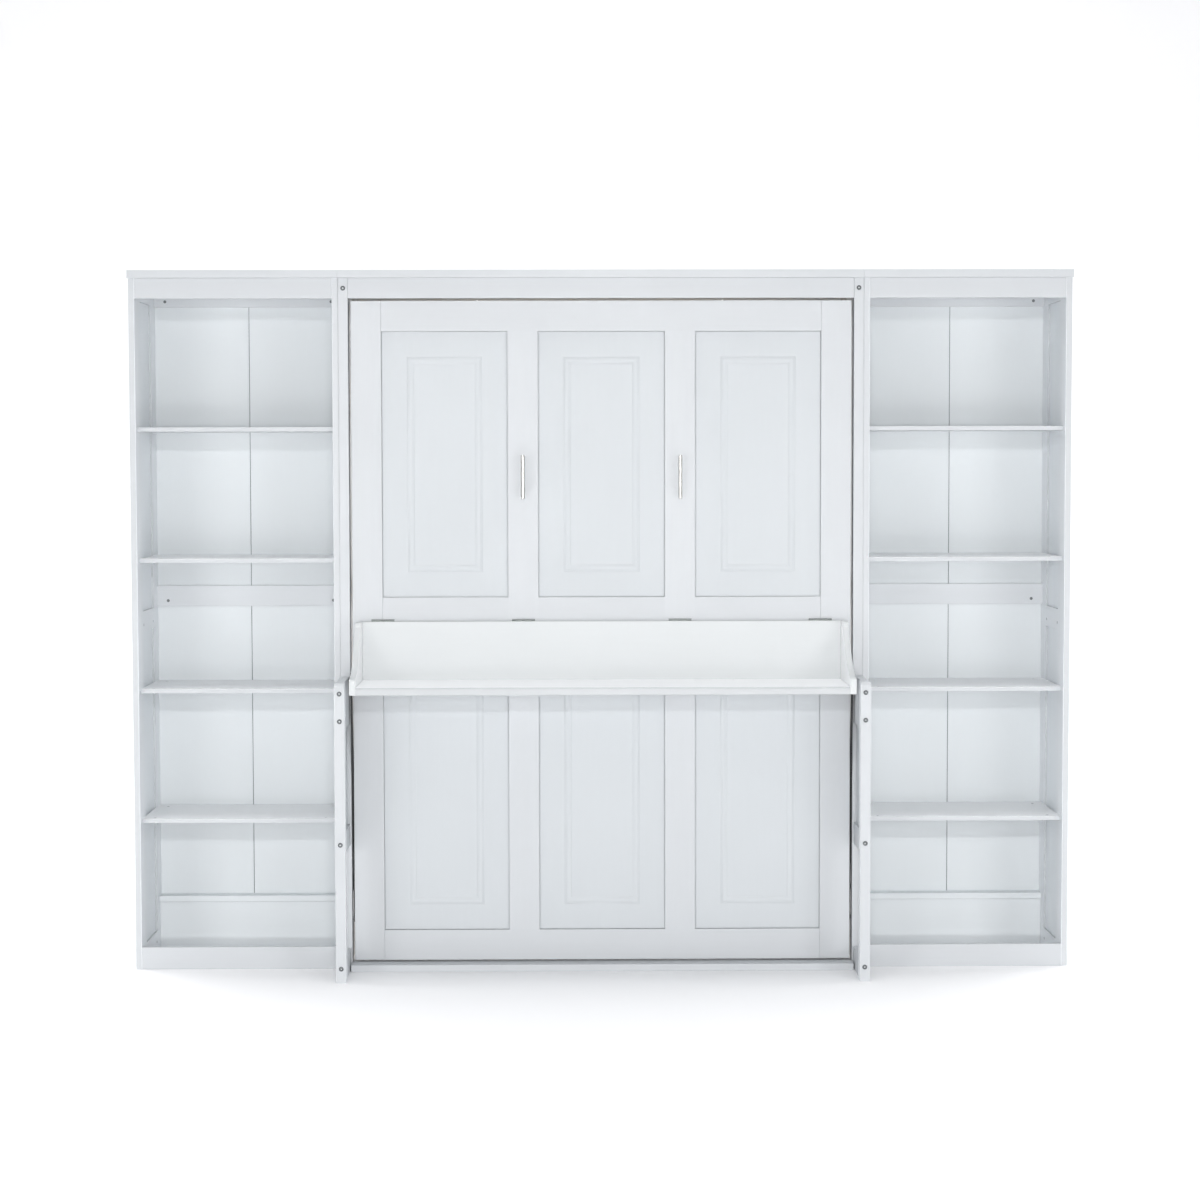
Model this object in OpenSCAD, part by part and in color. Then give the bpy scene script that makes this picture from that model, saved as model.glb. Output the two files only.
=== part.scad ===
// Wall bed for a queen mattress, with a fold-down desk and a bookcase on each side.
// Millimetres. X runs across the front, -Y is the front, Z is up from the floor.
// The origin is on the floor, in the middle of the footprint. The bed is drawn shut.

/* [Bed case] */
// Clear width between the two front posts
bay_w = 1600; // [1580:5:1640]
// Height over the top boards
total_h = 2225; // [2200:5:2260]
// Depth of the case and the bookcases
case_d = 400; // [395:5:430]
// Width of a post, seen from the front
post_w = 32; // [30:1:36]
// Depth of a post or a leg, front to back
post_d = 42; // [36:1:48]
// Thickness of the top boards
top_t = 25; // [20:1:28]
// Height of the fascia under the top boards
fascia_h = 64; // [56:1:70]

/* [Bookcases] */
// Width of one bookcase
unit_w = 660; // [600:10:700]
// Thickness of a bookcase side
side_t = 19; // [18:1:22]
// Thickness of a shelf
shelf_t = 13; // [12:1:18]
// Distance from one shelf to the next
shelf_pitch = 417; // [400:1:420]

/* [Bed] */
// Gap round the bed front
gap = 8; // [7:1:10]
// Width of the stiles and rails of the bed front
stile_w = 96; // [80:1:100]
// Thickness of the bed front
front_t = 22; // [20:1:24]
// Depth of the mattress rails behind the bed front
rail_d = 138; // [120:1:140]
// Number of slats
slats = 15; // [12:1:16]
// Height of the pivot above the floor
pivot_z = 330; // [328:1:334]
// Distance of the pivot behind the front face
pivot_in = 80; // [78:1:84]

/* [Desk] */
// How far the desk stands out of the front
desk_reach = 300; // [280:5:310]
// Height of the desk top's surface
desk_z = 929; // [920:1:930]
// Thickness of the desk top
desk_t = 24; // [20:1:24]
// Height of the desk hinge pins
hinge_z = 1118; // [1110:1:1122]
// Thickness of the cheeks
cheek_t = 19; // [18:1:24]

/* [Side frames] */
// How far the legs stand out of the front
leg_reach = 229; // [210:1:229]
// Height of the legs and arms
arm_z = 938; // [930:1:945]

/* [Lift] */
// Outer diameter of a gas spring
spring_d = 20; // [18:1:20]
// Diameter of a gas spring's rod
rod_d = 8; // [6:1:8]
// Thickness of the levelling links and the foot legs
bar_t = 5; // [4:0.5:5]

/* [Hidden] */
$fn = 48;

paint = "#E3E6E8";
desk_paint = "#F2F3F4";
pine = "#E2CDA6";
steel = "#A9ACB0";
black_steel = "#2B2C2E";

// The front face of the case stands face_y behind the middle of the footprint.
face_y = -(case_d - desk_reach) / 2;
back_y = face_y + case_d;
case_top_z = total_h - top_t;
fascia_z = case_top_z - fascia_h;
post_x0 = bay_w / 2;
post_x1 = post_x0 + post_w;
unit_x1 = post_x1 + unit_w;
inner_x0 = post_x1 + side_t;
inner_x1 = unit_x1 - side_t;
case_side_t = 18;
top_lip = 10;
top_side_lip = 3;
wall_rail_h = 97;
wall_rail_t = 20;
wall_hole_x = 406.4;
wall_hole_r = 4;
mid_rail_z = 1143.5;

// Bed front
bed_x = bay_w / 2 - gap;
bed_z0 = 28;
bed_z1 = fascia_z - gap;
mid_stile_x = 249;
hinge_rail_z0 = 1040;
hinge_rail_z1 = 1190;
groove_d = 8;
groove_t = 9;
panel_in = 8;
bead_w = 24;
bead_h = 3;
bead_margin = 80;

// Mattress box behind the bed front
rail_t = 22;
rail_x1 = bed_x - 5;
rail_x0 = rail_x1 - rail_t;
ledger_h = 22;
slat_w = 70;
slat_t = 18;
base_board_out = 58;
base_board_in = 10;
base_board_t = 22;

// Pivot, links and gas springs. A place is [Y, Z] on the side of the case.
pivot = [face_y + pivot_in, pivot_z];
hinge_axis = [face_y - 3.2, hinge_z];
link_top = [face_y - 22, desk_z + 11];
link_foot = link_top - (hinge_axis - pivot);
spring_top = [face_y + 150, 600];
spring_foot = pivot + [23, -87];
plate_t = 3;
bar_x0 = bed_x + 1.5;
spring_x = rail_x1 + plate_t + 12;
pivot_r = 8;
stud_r = 6;
eye_pin_r = 4;
run = 0.06;
foot_pivot = [face_y + 100, bed_z1 - 88];
foot_leg_l = pivot[1] + foot_pivot[0] - pivot[0] - 1;

// Desk
desk_x = bed_x - 13;
cheek_x0 = desk_x - cheek_t;
desk_back_t = 14;
desk_back_y = hinge_axis[0] - 2.4;
desk_low_z = desk_z - desk_t;
hinge_w = 73;
hinge_xs = [-695.5, -mid_stile_x, mid_stile_x, 695.5];
knuckle_r = 3;
hinge_pin_r = 1.5;
leaf_h = 32;
leaf_t = 2;

// Side frames
leg_y0 = face_y - leg_reach;
arm_h = 150;
board_t = 24;
board_x0 = post_x0 + (post_w - board_t) / 2;
leg_rail_z = [400, 467];
foot_rail_z1 = 67;
bolt_zs = [45, 433, 818, 904];
bolt_x = post_x0 + 15.5;

// Bookcases
front_stile_w = 98;
rear_stile_w = 98;
side_rail_h = 67;
side_mid_z = 1075;
nut_in = 12;
side_nut_zs = [33, 1098, case_top_z - 34];
infill_t = 6;
shelf_setback = 30;
shelf_top_z = 480;
sheet_in = 390;
sheet_t = 4;
tape_t = 0.1;
cleat_t = 20;
cleat_h = 67;
ledge_z = [157, 177];
ledge_in = 345;
low_board_in = 362;
plinth_h = 71;
nut_r = 5;
nut_reach = 37;
bolt_reach = 44;
back_rail_zs = [mid_rail_z, case_top_z - cleat_h - 2];
shelf_bolt_ys = [face_y + shelf_setback + 27, face_y + sheet_in - cleat_t - 47];
bookcase_bolt_places = concat(
    [for (i = [0:3], y = shelf_bolt_ys) [y, shelf_top_z + i * shelf_pitch - shelf_t / 2]],
    [for (z = back_rail_zs) [face_y + sheet_in - cleat_t / 2, z + 18]]
);

// A board with square edges from corner lo to corner hi.
module board(lo, hi) {
    translate(lo) cube(hi - lo);
}

// A board whose four long front edges are eased with a small round.
module eased_board(lo, hi, r = 2) {
    size = hi - lo;
    translate([lo[0], lo[1], lo[2]])
        linear_extrude(size[2])
            difference() {
                square([size[0], size[1]]);
                for (side = [0, 1])
                    translate([side * size[0], 0])
                        mirror([side, 0, 0])
                            difference() {
                                translate([-1, -1]) square(r + 1);
                                translate([r, r]) circle(r, $fn = 24);
                            }
            }
}

// A round bar along X, from x0 to x1, at place p = [Y, Z].
module bar_x(p, x0, x1, r) {
    translate([x0, p[0], p[1]]) rotate([0, 90, 0]) cylinder(h = x1 - x0, r = r);
}

// A round bar along Y, from y0 to y1.
module bar_y(x, z, y0, y1, r) {
    translate([x, y1, z]) rotate([90, 0, 0]) cylinder(h = y1 - y0, r = r);
}

module both_sides() {
    children();
    mirror([1, 0, 0]) children();
}

// Case ---------------------------------------------------------------

module case_post() {
    color(paint)
        difference() {
            eased_board([post_x0, face_y, 0], [post_x1, face_y + post_d, case_top_z]);
            bar_y(bolt_x, case_top_z - 32, face_y - 1, face_y + post_d + 1, 4.1);
        }
}

module case_rear_posts() {
    color(paint)
        both_sides()
            board([post_x0, back_y - post_d, 0], [post_x1, back_y, case_top_z]);
}

// The solid side between the posts, which carries the pivot, the link and the gas spring.
module case_side() {
    x0 = post_x1 - case_side_t;
    color(paint)
        difference() {
            board([x0, face_y + post_d, 0], [post_x1, back_y - post_d, case_top_z]);
            bar_x(pivot, x0 - 1, post_x1 + 1, pivot_r + 3);
            bar_x(link_foot, x0 - 1, post_x1 + 1, 4);
            bar_x(spring_top, x0 - 1, post_x1 + 1, 4);
        }
}

module top_board(x0, x1) {
    color(paint) board([x0, face_y - top_lip, case_top_z], [x1, back_y, total_h]);
}

module case_fascia() {
    color(paint) board([-post_x0, face_y, fascia_z], [post_x0, face_y + 18, case_top_z]);
}

// The flat board on the floor that ties the two side frames and the posts together.
module case_base_board() {
    color(paint)
        board([-post_x0, face_y - base_board_out, 0], [post_x0, face_y + base_board_in, base_board_t]);
}

// Three rails across the back, with the holes that fix the case to the wall studs.
module wall_rails() {
    color(paint)
        difference() {
            for (z = [0, mid_rail_z, case_top_z - wall_rail_h])
                board([-post_x0, back_y - wall_rail_t, z], [post_x0, back_y, z + wall_rail_h]);
            for (x = [-wall_hole_x, wall_hole_x], z = [mid_rail_z, case_top_z - wall_rail_h])
                bar_y(x, z + wall_rail_h / 2, back_y - wall_rail_t - 1, back_y + 1, wall_hole_r);
        }
}

// Side frames beside the desk ------------------------------------------

// The front leg, with its top front edge rounded over.
module leg() {
    r = 14;
    color(paint)
        difference() {
            translate([post_x0, 0, 0])
                rotate([90, 0, 90])
                    linear_extrude(post_w)
                        difference() {
                            translate([leg_y0, 0]) square([post_d, arm_z]);
                            translate([leg_y0, arm_z])
                                difference() {
                                    translate([-1, -r]) square(r + 1);
                                    translate([r, -r]) circle(r);
                                }
                        }
            for (z = bolt_zs) {
                bar_y(bolt_x, z, leg_y0 - 1, leg_y0 + post_d + 1, 4.1);
            }
        }
}

// A board of the side frame from the leg back to the post, with its bolt holes.
module frame_rail(z0, z1, bolts) {
    difference() {
        board([board_x0, leg_y0 + post_d, z0], [board_x0 + board_t, face_y, z1]);
        for (z = bolts) bar_y(bolt_x, z, leg_y0 + post_d - 1, leg_y0 + post_d + 36, 4.1);
    }
}

module leg_arms() {
    color(paint)
        both_sides() frame_rail(arm_z - arm_h, arm_z, [bolt_zs[2], bolt_zs[3]]);
}

// The middle and the bottom rail of each side frame.
module leg_rails() {
    color(paint)
        both_sides() {
            frame_rail(leg_rail_z[0], leg_rail_z[1], [bolt_zs[1]]);
            frame_rail(0, foot_rail_z1, [bolt_zs[0]]);
        }
}

module leg_infills() {
    x0 = post_x0 + (post_w - infill_t) / 2;
    color(paint)
        both_sides()
            board([x0, leg_y0 + post_d, leg_rail_z[1]], [x0 + infill_t, face_y, arm_z - arm_h]);
}

// A connector bolt with a domed flat head and a hexagon socket, head at y0, along +Y.
module connector_bolt(x, y0, z, length) {
    translate([x, y0, z])
        rotate([-90, 0, 0])
            difference() {
                rotate_extrude()
                    polygon([
                        [0, -3], [4.5, -3], [6.6, -2.2], [7.5, -0.8], [7.5, 0],
                        [3.9, 0], [3.9, length], [0, length]
                    ]);
                translate([0, 0, -3.5]) cylinder(h = 4.5, r = 2.9, $fn = 6);
            }
}

module frame_bolts() {
    color(steel)
        both_sides() {
            for (z = bolt_zs) connector_bolt(bolt_x, leg_y0, z, post_d + 34);
            connector_bolt(bolt_x, face_y, case_top_z - 32, post_d);
        }
}

// Bookcases ------------------------------------------------------------

// Holes for the flush-headed bolts that come through a side from its outer face at x.
module bolt_holes(x, into) {
    for (p = bookcase_bolt_places)
        translate([x, p[0], p[1]])
            rotate([0, into * 90, 0]) {
                translate([0, 0, -1]) cylinder(h = side_t + 2, r = 3.2, $fn = 24);
                translate([0, 0, -1]) cylinder(h = 5, r1 = 8.2, r2 = 3.2, $fn = 24);
            }
}

// The two stiles of a framed side. into is the direction of the shelves.
module side_stiles(x0, into) {
    x1 = x0 + side_t;
    outer = into > 0 ? x0 : x1;
    difference() {
        eased_board([x0, face_y, 0], [x1, face_y + front_stile_w, case_top_z], 1.5);
        bolt_holes(outer, into);
    }
    difference() {
        board([x0, back_y - rear_stile_w, 0], [x1, back_y, case_top_z]);
        bolt_holes(outer, into);
    }
}

module bookcase_stiles() {
    color(paint) {
        side_stiles(post_x1, 1);
        side_stiles(inner_x1, -1);
    }
}

// The three rails between a side's stiles, with the holes of their barrel nuts.
module side_rails(x0, into) {
    y1 = face_y + front_stile_w;
    y2 = back_y - rear_stile_w;
    inner = into > 0 ? x0 + side_t : x0;
    for (i = [0:2])
        difference() {
            z = [0, side_mid_z, case_top_z - side_rail_h][i];
            board([x0, y1, z], [x0 + side_t, y2, z + side_rail_h]);
            for (y = [y1 + nut_in, y2 - nut_in])
                bar_x(
                    [y, side_nut_zs[i]], min(inner + into, inner - into * 15),
                    max(inner + into, inner - into * 15), nut_r + run
                );
        }
}

module bookcase_side_rails() {
    color(paint)
        both_sides() {
            side_rails(post_x1, 1);
            side_rails(inner_x1, -1);
        }
}

module bookcase_side_panels() {
    color(paint)
        both_sides()
            for (x = [post_x1, inner_x1], i = [0, 1])
                board(
                    [x + (side_t - infill_t) / 2, face_y + front_stile_w,
                        i == 0 ? side_rail_h : side_mid_z + side_rail_h],
                    [x + (side_t + infill_t) / 2, back_y - rear_stile_w,
                        i == 0 ? side_mid_z : case_top_z - side_rail_h]
                );
}

// The back: two thin sheets that meet in the middle and stand on the ledge, with a
// strip taped over their seam from behind.
module bookcase_backs() {
    mid = (inner_x0 + inner_x1) / 2;
    y0 = face_y + sheet_in;
    color(paint) both_sides() {
        board([inner_x0, y0, ledge_z[1]], [mid - 1, y0 + sheet_t, case_top_z]);
        board([mid + 1, y0, ledge_z[1]], [inner_x1, y0 + sheet_t, case_top_z]);
        board(
            [mid - 15, y0 + sheet_t + tape_t, ledge_z[1]],
            [mid + 15, y0 + sheet_t + tape_t + 2, case_top_z]
        );
    }
}

module bookcase_tops() {
    both_sides() top_board(post_x1, unit_x1 + top_side_lip);
}

module bookcase_fascias() {
    color(paint)
        both_sides() board([inner_x0, face_y, fascia_z], [inner_x1, face_y + 18, case_top_z]);
}

module bookcase_shelves() {
    color(paint)
        for (i = [0:3])
            difference() {
                z = shelf_top_z + i * shelf_pitch - shelf_t;
                eased_board(
                    [inner_x0, face_y + shelf_setback, z],
                    [inner_x1, face_y + sheet_in - cleat_t - 2, z + shelf_t]
                );
                for (y = shelf_bolt_ys) {
                    bar_x([y, z + shelf_t / 2], inner_x0 - 1, inner_x0 + bolt_reach, 3.2);
                    bar_x([y, z + shelf_t / 2], inner_x1 - bolt_reach, inner_x1 + 1, 3.2);
                    for (x = [inner_x0 + nut_reach, inner_x1 - nut_reach])
                        translate([x, y, z - 1]) cylinder(h = shelf_t + 2, r = nut_r + run);
                }
            }
}

// The board under the front of each bookcase, and the taller one under its back.
module bookcase_plinths() {
    y1 = face_y + low_board_in;
    color(paint)
        both_sides() {
            board([inner_x0, face_y, 0], [inner_x1, face_y + side_t, plinth_h]);
            board([inner_x0, y1, 0], [inner_x1, y1 + 18, ledge_z[0]]);
        }
}

// A rail across the back, in front of the sheets, with its two barrel nuts' holes.
module back_rail(z0) {
    y1 = face_y + sheet_in;
    difference() {
        board([inner_x0, y1 - cleat_t, z0], [inner_x1, y1, z0 + cleat_h]);
        for (x = [inner_x0 + nut_reach, inner_x1 - nut_reach])
            bar_y(x, z0 + 18, y1 - cleat_t - 1, y1 + 1, nut_r + run);
        bar_x([y1 - cleat_t / 2, z0 + 18], inner_x0 - 1, inner_x0 + bolt_reach, 3.2);
        bar_x([y1 - cleat_t / 2, z0 + 18], inner_x1 - bolt_reach, inner_x1 + 1, 3.2);
    }
}

module bookcase_back_rails() {
    color(paint)
        both_sides() {
            for (z = back_rail_zs) back_rail(z);
        }
}

// The ledge that lies on the rear plinth and carries the back sheets.
module bookcase_back_ledges() {
    color(paint)
        both_sides()
            board(
                [inner_x0, face_y + ledge_in, ledge_z[0]],
                [inner_x1, face_y + sheet_in + sheet_t + 1, ledge_z[1]]
            );
}

// The bolts that come through the sides into the shelves and the back rails.
module bookcase_bolt(p) {
    translate([0, p[0], p[1]])
        rotate([0, 90, 0])
            difference() {
                rotate_extrude()
                    polygon([
                        [0, 0], [6.4, 0], [6.4, 0.4], [3, 3.6],
                        [3, side_t + bolt_reach - 1], [0, side_t + bolt_reach - 1]
                    ]);
                translate([0, 0, -1]) cylinder(h = 3.4, r = 2.3, $fn = 6);
            }
}

module bookcase_bolts() {
    color(steel)
        both_sides()
            for (p = bookcase_bolt_places) {
                translate([post_x1, 0, 0]) bookcase_bolt(p);
                translate([unit_x1, 0, 0]) mirror([1, 0, 0]) bookcase_bolt(p);
            }
}

// A barrel nut with the slot that turns it, its face at the given end. A bolt passes
// through it at the height given, if there is one.
module barrel_nut(length, bolt_at = 0) {
    difference() {
        cylinder(h = length, r = nut_r);
        translate([-4, -0.7, length - 1.2]) cube([8, 1.4, 2]);
        if (bolt_at > 0)
            translate([-nut_r - 1, 0, bolt_at]) rotate([0, 90, 0]) cylinder(h = 12, r = 3.06);
    }
}

module barrel_nuts() {
    y1 = face_y + front_stile_w;
    y2 = back_y - rear_stile_w;
    color(steel)
        both_sides() {
            for (x = [inner_x0 + nut_reach, inner_x1 - nut_reach]) {
                for (z = back_rail_zs)
                    translate([x, face_y + sheet_in - 2, z + 18])
                        rotate([90, 0, 0]) barrel_nut(cleat_t - 2.5, cleat_t / 2 - 2);
                for (i = [0:3], y = shelf_bolt_ys)
                    translate([x, y, shelf_top_z + i * shelf_pitch - shelf_t + 0.5])
                        barrel_nut(shelf_t - 1.2, shelf_t / 2 - 0.5);
            }
            for (y = [y1 + nut_in, y2 - nut_in], z = side_nut_zs) {
                translate([inner_x0 - 15, y, z]) rotate([0, 90, 0]) barrel_nut(14.5);
                translate([inner_x1 + 15, y, z]) rotate([0, -90, 0]) barrel_nut(14.5);
            }
        }
}

// Case hardware ----------------------------------------------------------

// A plain bush with a flange, in the side of the case.
module pivot_bushes() {
    x0 = post_x1 - case_side_t;
    color("#3A3B3D")
        both_sides()
            translate([x0, pivot[0], pivot[1]])
                rotate([0, 90, 0])
                    rotate_extrude()
                        polygon([
                            [pivot_r + run, -2], [pivot_r + 8, -2], [pivot_r + 8, 0],
                            [pivot_r + 2.95, 0], [pivot_r + 2.95, case_side_t],
                            [pivot_r + run, case_side_t]
                        ]);
}

// The fixed studs: one for each levelling link and one for each gas spring.
module case_studs() {
    x0 = post_x1 - case_side_t;
    color(steel)
        both_sides() {
            translate([0, 0, 0]) bar_x(link_foot, bar_x0 - 0.5, x0, stud_r);
            bar_x(link_foot, x0, post_x1 - 2, 3.95);
            bar_x(spring_top, spring_x - 5, x0, eye_pin_r);
            bar_x(spring_top, x0, post_x1 - 2, 3.95);
        }
}

// Bed ----------------------------------------------------------------------

// An outer stile, grooved along its inner edge for the panels and rail tenons.
module bed_stile() {
    y0 = face_y;
    color(paint)
        difference() {
            eased_board([bed_x - stile_w, y0, bed_z0], [bed_x, y0 + front_t, bed_z1]);
            board(
                [bed_x - stile_w - 1, y0 + panel_in, bed_z0 - 1],
                [bed_x - stile_w + groove_d, y0 + panel_in + groove_t, bed_z1 + 1]
            );
        }
}

// A middle stile, from the bottom rail to the top rail, with a tongue at each end and a
// groove down both edges.
module bed_mid_stile() {
    y0 = face_y;
    z0 = bed_z0 + stile_w;
    z1 = bed_z1 - stile_w;
    difference() {
        union() {
            board(
                [mid_stile_x - stile_w / 2, y0, z0],
                [mid_stile_x + stile_w / 2, y0 + front_t, z1]
            );
            board(
                [mid_stile_x - stile_w / 2, y0 + panel_in + 0.1, z0 - groove_d + 0.5],
                [mid_stile_x + stile_w / 2, y0 + panel_in + groove_t - 0.1, z1 + groove_d - 0.5]
            );
        }
        for (side = [-1, 1])
            translate([mid_stile_x + side * stile_w / 2, y0 + panel_in + groove_t / 2, (z0 + z1) / 2])
                cube([2 * groove_d, groove_t, z1 - z0 + 4 * groove_d], center = true);
    }
}

module bed_mid_stiles() {
    color(paint)
        both_sides() bed_mid_stile();
}

// A rail of the bed front, with tenons into the stiles and grooves for the panels.
module bed_cross_rail(x0, x1, z0, z1, grooves) {
    y0 = face_y;
    tenon = groove_d - 0.5;
    difference() {
        union() {
            board([x0, y0, z0], [x1, y0 + front_t, z1]);
            board(
                [x0 - tenon, y0 + panel_in + 0.1, z0],
                [x1 + tenon, y0 + panel_in + groove_t - 0.1, z1]
            );
        }
        for (z = grooves)
            translate([0, y0 + panel_in + groove_t / 2, z])
                cube([2 * bed_x, groove_t, 2 * groove_d], center = true);
    }
}

// The bottom and top rails, and the three short rails behind the desk's hinges.
module bed_cross_rails() {
    edge = bed_x - stile_w;
    s0 = mid_stile_x - stile_w / 2;
    s1 = mid_stile_x + stile_w / 2;
    color(paint) {
        bed_cross_rail(-edge, edge, bed_z0, bed_z0 + stile_w, [bed_z0 + stile_w]);
        bed_cross_rail(-edge, edge, bed_z1 - stile_w, bed_z1, [bed_z1 - stile_w]);
        for (x = [[-edge, -s1], [-s0, s0], [s1, edge]])
            bed_cross_rail(x[0], x[1], hinge_rail_z0, hinge_rail_z1, [hinge_rail_z0, hinge_rail_z1]);
    }
}

// One side of a moulding: a low half-round strip along X, mitred at both ends, whose
// outer edge lies on the Z = 0 line and whose back is just behind the Y = 0 plane.
module moulding_side(half) {
    r = (bead_w * bead_w / 4 + bead_h * bead_h) / (2 * bead_h);
    intersection() {
        translate([0, r - bead_h, -bead_w / 2])
            rotate([0, 90, 0]) cylinder(h = 2 * half, r = r, center = true, $fn = 96);
        translate([0, 1, 0])
            rotate([90, 0, 0])
                linear_extrude(bead_h + 2)
                    polygon([[-half, 0], [half, 0], [half - bead_w, -bead_w], [bead_w - half, -bead_w]]);
    }
}

// One flat panel in its grooves, with a moulding round its face.
module bed_panel(x0, x1, z0, z1) {
    y0 = face_y + panel_in;
    in = groove_d - 0.5;
    half_w = (x1 - x0) / 2 - bead_margin;
    half_h = (z1 - z0) / 2 - bead_margin;
    board([x0 - in, y0 + 0.2, z0 - in], [x1 + in, y0 + groove_t - 0.2, z1 + in]);
    translate([(x0 + x1) / 2, y0 + 0.2, (z0 + z1) / 2])
        for (side = [0, 1]) {
            rotate([0, side * 180, 0]) translate([0, 0, half_h]) moulding_side(half_w);
            rotate([0, 90 + side * 180, 0]) translate([0, 0, half_w]) moulding_side(half_h);
        }
}

module bed_panels() {
    edge = bed_x - stile_w;
    s0 = mid_stile_x - stile_w / 2;
    s1 = mid_stile_x + stile_w / 2;
    color(paint)
        for (z = [[bed_z0 + stile_w, hinge_rail_z0], [hinge_rail_z1, bed_z1 - stile_w]]) {
            bed_panel(-edge, -s1, z[0], z[1]);
            bed_panel(-s0, s0, z[0], z[1]);
            bed_panel(s1, edge, z[0], z[1]);
        }
}

module bed_side_rails() {
    y0 = face_y + front_t;
    color(paint)
        both_sides()
            difference() {
                board([rail_x0, y0, bed_z0], [rail_x1, y0 + rail_d, bed_z1]);
                bar_x(foot_pivot, rail_x1 - 16, rail_x1 + 1, 4);
            }
}

module bed_end_rails() {
    y0 = face_y + front_t;
    color(paint)
        for (z = [bed_z0, bed_z1 - rail_t])
            board([-rail_x0, y0, z], [rail_x0, y0 + rail_d, z + rail_t]);
}

// Slats lie across the ledgers and the centre rail.
module bed_slats() {
    y0 = face_y + front_t + ledger_h;
    z0 = bed_z0 + rail_t + 24;
    step = (bed_z1 - rail_t - 24 - slat_w - z0) / (slats - 1);
    color(pine)
        for (i = [0:slats - 1])
            translate([0, 0, z0 + i * step])
                eased_board([-rail_x0 + 2, y0, 0], [rail_x0 - 2, y0 + slat_t, slat_w]);
}

module slat_supports() {
    y0 = face_y + front_t;
    z0 = bed_z0 + rail_t;
    z1 = bed_z1 - rail_t;
    color(pine) {
        both_sides() board([rail_x0 - 22, y0, z0], [rail_x0, y0 + ledger_h, z1]);
        board([-35, y0, z0], [35, y0 + ledger_h, z1]);
    }
}

// Round bar handles, upright on the two middle stiles.
module handle_bars() {
    color(steel)
        both_sides()
            translate([mid_stile_x, face_y - 30, 1572])
                rotate_extrude()
                    polygon([
                        [0, -68.5], [5, -68.5], [6, -67.5], [6, 67.5], [5, 68.5], [0, 68.5]
                    ]);
}

// The posts are coped to sit against the round bar.
module handle_posts() {
    color(steel)
        both_sides()
            for (z = [1524, 1620])
                difference() {
                    bar_y(mid_stile_x, z, face_y - 27.5, face_y, 4.5);
                    translate([mid_stile_x, face_y - 30, z - 6]) cylinder(h = 12, r = 6.08);
                }
}

// A steel plate on each side rail: it carries the pivot pin and the gas spring's stud.
module pivot_plates() {
    x0 = rail_x1;
    r = 26;
    color(steel)
        both_sides() {
            translate([x0, 0, 0])
                rotate([90, 0, 90])
                    linear_extrude(plate_t)
                        hull() {
                            translate(pivot) circle(r, $fn = 32);
                            translate(spring_foot) circle(r - 6, $fn = 32);
                            translate(pivot + [-20, -140]) circle(14, $fn = 32);
                        }
            bar_x(pivot, x0 + plate_t, post_x1 - 3, pivot_r);
            bar_x(spring_foot, x0 + plate_t, spring_x - 4.5, eye_pin_r);
        }
}

// The studs near the foot of the bed that the two foot legs hang on.
module foot_studs() {
    color(steel)
        both_sides()
            translate([rail_x1, foot_pivot[0], foot_pivot[1]])
                rotate([0, 90, 0])
                    rotate_extrude()
                        polygon([
                            [0, -15], [3.95, -15], [3.95, 0], [10, 0], [10, 6.2],
                            [stud_r, 6.2], [stud_r, 12.2], [0, 12.2]
                        ]);
}

// Butt hinge: 5 knuckles, the odd ones on the bed and the even ones on the desk.
module leaf(x, plate_y, odd) {
    pitch = hinge_w / 5;
    clear = 0.2;
    difference() {
        union() {
            board([x - hinge_w / 2, plate_y, hinge_z - leaf_h], [x + hinge_w / 2, plate_y + leaf_t, hinge_z]);
            for (i = [0:4])
                if ((i % 2 == 0) == odd)
                    bar_x(
                        hinge_axis, x - hinge_w / 2 + i * pitch + (i == 0 ? 0 : clear),
                        x - hinge_w / 2 + (i + 1) * pitch - (i == 4 ? 0 : clear), knuckle_r
                    );
        }
        for (i = [0:4])
            if ((i % 2 == 0) != odd)
                board(
                    [x - hinge_w / 2 + i * pitch - clear, hinge_axis[0] - 4, hinge_z - knuckle_r - 0.6],
                    [x - hinge_w / 2 + (i + 1) * pitch + clear, hinge_axis[0] + 4, hinge_z + 4]
                );
        bar_x(hinge_axis, x - hinge_w, x + hinge_w, hinge_pin_r + run);
    }
}

module hinge_bed_leaves() {
    color(steel)
        for (x = hinge_xs) leaf(x, face_y - leaf_t, true);
}

module hinge_desk_leaves() {
    color(steel)
        for (x = hinge_xs) leaf(x, desk_back_y, false);
}

module hinge_pins() {
    color(steel)
        for (x = hinge_xs) bar_x(hinge_axis, x - hinge_w / 2, x + hinge_w / 2, hinge_pin_r);
}

// Desk -------------------------------------------------------------------

// The desk top, its front edge rounded over at the top. It butts against the back board.
module desk_top() {
    r = 8;
    y0 = face_y - desk_reach;
    y1 = desk_back_y - desk_back_t;
    color(desk_paint)
        translate([-cheek_x0, 0, 0])
            rotate([90, 0, 90])
                linear_extrude(2 * cheek_x0)
                    difference() {
                        translate([y0, desk_low_z]) square([y1 - y0, desk_t]);
                        translate([y0, desk_z])
                            difference() {
                                translate([-1, -r]) square(r + 1);
                                translate([r, -r]) circle(r);
                            }
                    }
}

module desk_back() {
    color(desk_paint)
        board(
            [-cheek_x0, desk_back_y - desk_back_t, desk_low_z],
            [cheek_x0, desk_back_y, hinge_z - 4]
        );
}

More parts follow.
